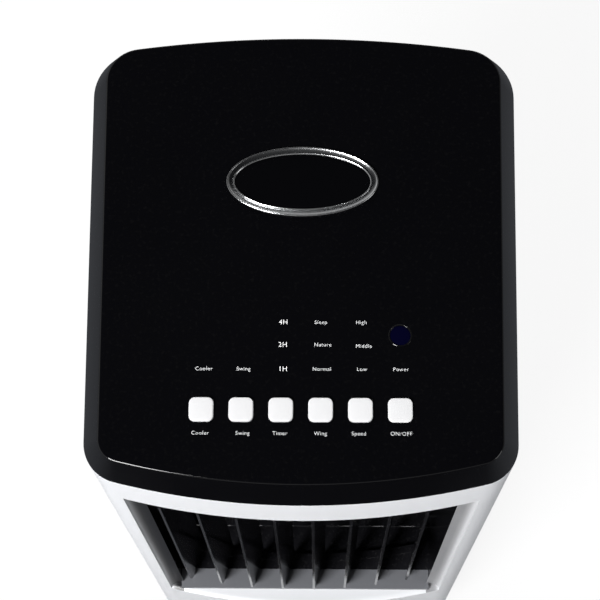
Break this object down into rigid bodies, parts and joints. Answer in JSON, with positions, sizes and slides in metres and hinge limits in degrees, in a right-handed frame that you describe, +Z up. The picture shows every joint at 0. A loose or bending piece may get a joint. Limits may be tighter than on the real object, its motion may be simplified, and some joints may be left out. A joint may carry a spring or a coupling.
{
  "type": "evaporative cooler",
  "caption": "Tower evaporative air cooler on casters: bowed white housing, black bevelled cap with push buttons, louvred outlet, blower, wet pad and drawer tank.",
  "frame": {"origin": "on the floor under the middle of the housing", "axes": "+Z up, -Y out of the air outlet, +X to the right of someone facing the outlet"},
  "size_m": [0.2906, 0.33, 0.6623],
  "materials": {
    "cap_black": "piano-black gloss moulding",
    "badge_metal": "bright plated",
    "badge_black": "piano-black gloss",
    "lens_navy": "dark translucent lens",
    "key_white": "satin white",
    "board_green": "solder mask",
    "screw_steel": "zinc plated",
    "shell_white": "satin white moulding",
    "grille_white": "satin white moulding",
    "louvre_black": "satin black moulding",
    "inner_grey": "moulded grey",
    "base_black": "fine texture",
    "fan_grey": "moulded",
    "shaft_steel": "ground bar",
    "bush_brass": "sintered",
    "motor_metal": "pressed steel can",
    "filter_mesh": "woven nylon mesh",
    "pad_paper": "corrugated cellulose",
    "pipe_clear": "translucent",
    "pump_black": "moulded",
    "tank_blue": "frosted translucent",
    "window_clear": "clear strip",
    "fork_grey": "moulded",
    "wheel_black": "worn tread",
    "gland_black": "moulded"
  },
  "bodies": {
    "housing": {"top_cap": "cap_black", "badge_ring": "badge_metal", "badge_inlay": "badge_black", "receiver_lens": "lens_navy", "control_board": "board_green", "board_screws": "screw_steel", "front_frame": "shell_white", "side_panel_left": "shell_white", "side_panel_right": "shell_white", "rear_panel": "shell_white", "housing_screws": "screw_steel", "cord_gland": "gland_black", "base_tray": "base_black", "deck": "inner_grey", "louvre_frame": "louvre_black", "swing_motor": "motor_metal", "scroll_housing": "inner_grey", "fan_bush": "bush_brass", "fan_motor": "motor_metal", "pad_frame": "inner_grey", "cooling_pad": "pad_paper", "feed_trough": "inner_grey", "riser_pipe": "pipe_clear", "pump": "pump_black"},
    "key_cooler": {"button_cooler": "key_white"},
    "key_swing": {"button_swing": "key_white"},
    "key_timer": {"button_timer": "key_white"},
    "key_wind": {"button_wind": "key_white"},
    "key_speed": {"button_speed": "key_white"},
    "key_power": {"button_power": "key_white"},
    "swing_blade_1": {"blade_1": "louvre_black"},
    "swing_blade_2": {"blade_2": "louvre_black"},
    "swing_blade_3": {"blade_3": "louvre_black"},
    "swing_blade_4": {"blade_4": "louvre_black"},
    "swing_blade_5": {"blade_5": "louvre_black"},
    "swing_blade_6": {"blade_6": "louvre_black"},
    "swing_blade_7": {"blade_7": "louvre_black"},
    "swing_blade_8": {"blade_8": "louvre_black"},
    "blade_tie": {"blade_link": "louvre_black"},
    "tilt_vane_1": {"vane_1": "louvre_black"},
    "tilt_vane_2": {"vane_2": "louvre_black"},
    "tilt_vane_3": {"vane_3": "louvre_black"},
    "tilt_vane_4": {"vane_4": "louvre_black"},
    "tilt_vane_5": {"vane_5": "louvre_black"},
    "vane_tie": {"vane_link": "louvre_black"},
    "blower": {"blower_wheel": "fan_grey", "fan_shaft": "shaft_steel"},
    "filter": {"rear_grille": "grille_white", "dust_filter": "filter_mesh"},
    "tank": {"water_tank": "tank_blue", "level_window": "window_clear"},
    "caster_1": {"caster_fork_1": "fork_grey"},
    "wheel_1": {"caster_wheel_1": "wheel_black"},
    "caster_2": {"caster_fork_2": "fork_grey"},
    "wheel_2": {"caster_wheel_2": "wheel_black"},
    "caster_3": {"caster_fork_3": "fork_grey"},
    "wheel_3": {"caster_wheel_3": "wheel_black"},
    "caster_4": {"caster_fork_4": "fork_grey"},
    "wheel_4": {"caster_wheel_4": "wheel_black"}
  },
  "joints": [
    {"name": "press_cooler", "type": "slide", "parent": "housing", "child": "key_cooler", "axis": [0, 0, -1], "range_m": [0, 0.0012], "stiffness_N_per_m": 400},
    {"name": "press_swing", "type": "slide", "parent": "housing", "child": "key_swing", "axis": [0, 0, -1], "range_m": [0, 0.0012], "stiffness_N_per_m": 400},
    {"name": "press_timer", "type": "slide", "parent": "housing", "child": "key_timer", "axis": [0, 0, -1], "range_m": [0, 0.0012], "stiffness_N_per_m": 400},
    {"name": "press_wind", "type": "slide", "parent": "housing", "child": "key_wind", "axis": [0, 0, -1], "range_m": [0, 0.0012], "stiffness_N_per_m": 400},
    {"name": "press_speed", "type": "slide", "parent": "housing", "child": "key_speed", "axis": [0, 0, -1], "range_m": [0, 0.0012], "stiffness_N_per_m": 400},
    {"name": "press_power", "type": "slide", "parent": "housing", "child": "key_power", "axis": [0, 0, -1], "range_m": [0, 0.0012], "stiffness_N_per_m": 400},
    {"name": "blade_1_swing", "type": "hinge", "parent": "housing", "child": "swing_blade_1", "pos_m": [-0.0945, -0.12399, 0.217], "axis": [0, 0, 1], "range_deg": [-20, 50]},
    {"name": "blade_2_swing", "type": "hinge", "parent": "housing", "child": "swing_blade_2", "pos_m": [-0.0675, -0.12842, 0.217], "axis": [0, 0, 1], "range_deg": [-20, 50]},
    {"name": "blade_3_swing", "type": "hinge", "parent": "housing", "child": "swing_blade_3", "pos_m": [-0.0405, -0.13136, 0.217], "axis": [0, 0, 1], "range_deg": [-20, 50]},
    {"name": "blade_4_swing", "type": "hinge", "parent": "housing", "child": "swing_blade_4", "pos_m": [-0.0135, -0.13282, 0.217], "axis": [0, 0, 1], "range_deg": [-20, 50]},
    {"name": "blade_5_swing", "type": "hinge", "parent": "housing", "child": "swing_blade_5", "pos_m": [0.0135, -0.13282, 0.217], "axis": [0, 0, 1], "range_deg": [-20, 50]},
    {"name": "blade_6_swing", "type": "hinge", "parent": "housing", "child": "swing_blade_6", "pos_m": [0.0405, -0.13136, 0.217], "axis": [0, 0, 1], "range_deg": [-20, 50]},
    {"name": "blade_7_swing", "type": "hinge", "parent": "housing", "child": "swing_blade_7", "pos_m": [0.0675, -0.12842, 0.217], "axis": [0, 0, 1], "range_deg": [-20, 50]},
    {"name": "blade_8_swing", "type": "hinge", "parent": "housing", "child": "swing_blade_8", "pos_m": [0.0945, -0.12399, 0.217], "axis": [0, 0, 1], "range_deg": [-20, 50]},
    {"name": "blade_tie_pin", "type": "hinge", "parent": "swing_blade_4", "child": "blade_tie", "pos_m": [-0.01117, -0.12412, 0.218], "axis": [0, 0, 1], "range_deg": [-50, 20]},
    {"name": "vane_1_tilt", "type": "hinge", "parent": "housing", "child": "tilt_vane_1", "pos_m": [0, -0.092, 0.2529], "axis": [1, 0, 0], "range_deg": [-30, 30]},
    {"name": "vane_2_tilt", "type": "hinge", "parent": "housing", "child": "tilt_vane_2", "pos_m": [0, -0.092, 0.3267], "axis": [1, 0, 0], "range_deg": [-30, 30]},
    {"name": "vane_3_tilt", "type": "hinge", "parent": "housing", "child": "tilt_vane_3", "pos_m": [0, -0.092, 0.4005], "axis": [1, 0, 0], "range_deg": [-30, 30]},
    {"name": "vane_4_tilt", "type": "hinge", "parent": "housing", "child": "tilt_vane_4", "pos_m": [0, -0.092, 0.4743], "axis": [1, 0, 0], "range_deg": [-30, 30]},
    {"name": "vane_5_tilt", "type": "hinge", "parent": "housing", "child": "tilt_vane_5", "pos_m": [0, -0.092, 0.5481], "axis": [1, 0, 0], "range_deg": [-30, 30]},
    {"name": "vane_tie_pin", "type": "hinge", "parent": "tilt_vane_3", "child": "vane_tie", "pos_m": [0.101, -0.085, 0.4005], "axis": [1, 0, 0], "range_deg": [-30, 30]},
    {"name": "blower_spin", "type": "hinge", "parent": "housing", "child": "blower", "pos_m": [0, 0, 0.214], "axis": [0, 0, 1], "continuous": true},
    {"name": "filter_pull", "type": "slide", "parent": "housing", "child": "filter", "axis": [0, 1, 0], "range_m": [0, 0.08]},
    {"name": "tank_pull", "type": "slide", "parent": "housing", "child": "tank", "axis": [0, 1, 0], "range_m": [0, 0.16]},
    {"name": "caster_1_swivel", "type": "hinge", "parent": "housing", "child": "caster_1", "pos_m": [-0.098, -0.116, 0.044], "axis": [0, 0, 1], "continuous": true},
    {"name": "wheel_1_roll", "type": "hinge", "parent": "caster_1", "child": "wheel_1", "pos_m": [-0.098, -0.103, 0.018], "axis": [1, 0, 0], "continuous": true},
    {"name": "caster_2_swivel", "type": "hinge", "parent": "housing", "child": "caster_2", "pos_m": [0.098, -0.116, 0.044], "axis": [0, 0, 1], "continuous": true},
    {"name": "wheel_2_roll", "type": "hinge", "parent": "caster_2", "child": "wheel_2", "pos_m": [0.098, -0.103, 0.018], "axis": [1, 0, 0], "continuous": true},
    {"name": "caster_3_swivel", "type": "hinge", "parent": "housing", "child": "caster_3", "pos_m": [-0.098, 0.116, 0.044], "axis": [0, 0, 1], "continuous": true},
    {"name": "wheel_3_roll", "type": "hinge", "parent": "caster_3", "child": "wheel_3", "pos_m": [-0.098, 0.129, 0.018], "axis": [1, 0, 0], "continuous": true},
    {"name": "caster_4_swivel", "type": "hinge", "parent": "housing", "child": "caster_4", "pos_m": [0.098, 0.116, 0.044], "axis": [0, 0, 1], "continuous": true},
    {"name": "wheel_4_roll", "type": "hinge", "parent": "caster_4", "child": "wheel_4", "pos_m": [0.098, 0.129, 0.018], "axis": [1, 0, 0], "continuous": true}
  ],
  "couplings": [
    {"joint": "blade_1_swing", "follows": "blade_4_swing", "ratio": 1},
    {"joint": "blade_2_swing", "follows": "blade_4_swing", "ratio": 1},
    {"joint": "blade_3_swing", "follows": "blade_4_swing", "ratio": 1},
    {"joint": "blade_5_swing", "follows": "blade_4_swing", "ratio": 1},
    {"joint": "blade_6_swing", "follows": "blade_4_swing", "ratio": 1},
    {"joint": "blade_7_swing", "follows": "blade_4_swing", "ratio": 1},
    {"joint": "blade_8_swing", "follows": "blade_4_swing", "ratio": 1},
    {"joint": "blade_tie_pin", "follows": "blade_4_swing", "ratio": -1},
    {"joint": "vane_1_tilt", "follows": "vane_3_tilt", "ratio": 1},
    {"joint": "vane_2_tilt", "follows": "vane_3_tilt", "ratio": 1},
    {"joint": "vane_4_tilt", "follows": "vane_3_tilt", "ratio": 1},
    {"joint": "vane_5_tilt", "follows": "vane_3_tilt", "ratio": 1},
    {"joint": "vane_tie_pin", "follows": "vane_3_tilt", "ratio": -1}
  ]
}
